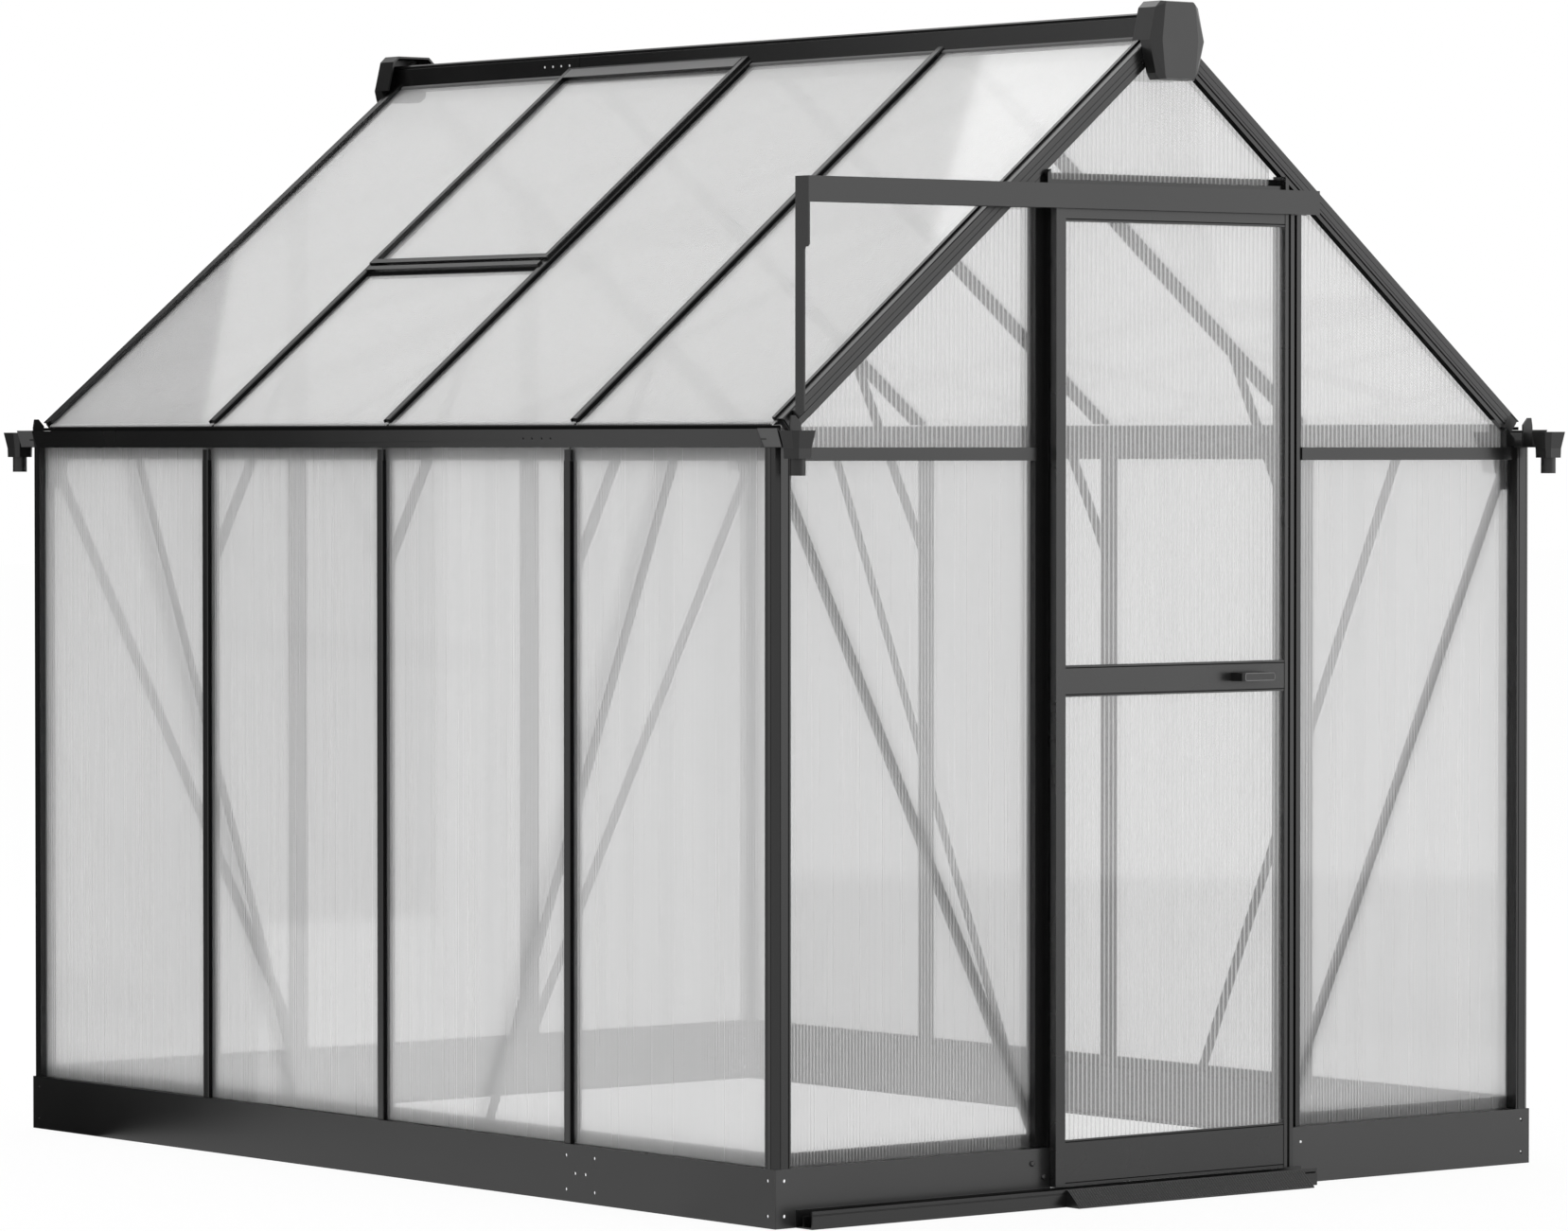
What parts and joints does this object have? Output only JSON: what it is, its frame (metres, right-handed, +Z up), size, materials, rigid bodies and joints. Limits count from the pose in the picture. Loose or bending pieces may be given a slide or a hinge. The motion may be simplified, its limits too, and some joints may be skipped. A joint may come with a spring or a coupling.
{
  "type": "greenhouse",
  "caption": "Walk-in garden greenhouse: dark aluminium frame, translucent twin-wall sheets, sliding gable door on an overhanging top rail, roof vent, rain gutters with outlets, folded base.",
  "frame": {"origin": "on the ground in the middle of the frame", "axes": "+X to the right along the door gable, +Y from the door gable to the back gable, +Z up"},
  "size_m": [1.921, 2.585, 2.2159],
  "materials": {
    "frame": "satin powder coat on aluminium profiles",
    "base": "satin powder coat on folded steel",
    "sheet": "translucent twin-wall polycarbonate",
    "moulding": "moulded plastic, fine grain"
  },
  "bodies": {
    "house": {"base_left": "base", "base_right": "base", "base_back": "base", "base_front_left": "base", "base_front_right": "base", "door_sill": "frame", "threshold_ramp": "frame", "corner_posts": "frame", "posts_left": "frame", "posts_right": "frame", "posts_back": "frame", "door_posts": "frame", "plates_left": "frame", "plates_right": "frame", "sills_gables": "frame", "gable_ties": "frame", "door_header": "frame", "gutter_left": "frame", "gutter_right": "frame", "gutter_heads": "moulding", "rafters_front": "frame", "rafters_back": "frame", "roof_bars_left": "frame", "roof_bars_right": "frame", "ridge_beam": "frame", "ridge_caps": "moulding", "sheets_left": "sheet", "sheets_right": "sheet", "sheets_back": "sheet", "sheets_front": "sheet", "gable_sheet_front": "sheet", "gable_sheet_back": "sheet", "roof_sheets_left": "sheet", "roof_sheets_right": "sheet", "vent_frame": "frame", "vent_sheet": "sheet", "braces_sides": "frame", "braces_gables": "frame", "knee_braces": "frame", "door_rail": "frame", "rail_strut": "frame", "door_track": "frame"},
    "door": {"door_stiles": "frame", "door_bars": "frame", "door_hangers": "moulding", "door_sheets": "sheet", "door_handle": "moulding"}
  },
  "joints": [
    {"name": "door_slide", "type": "slide", "parent": "house", "child": "door", "axis": [-1, 0, 0], "range_m": [0, 0.58]}
  ]
}
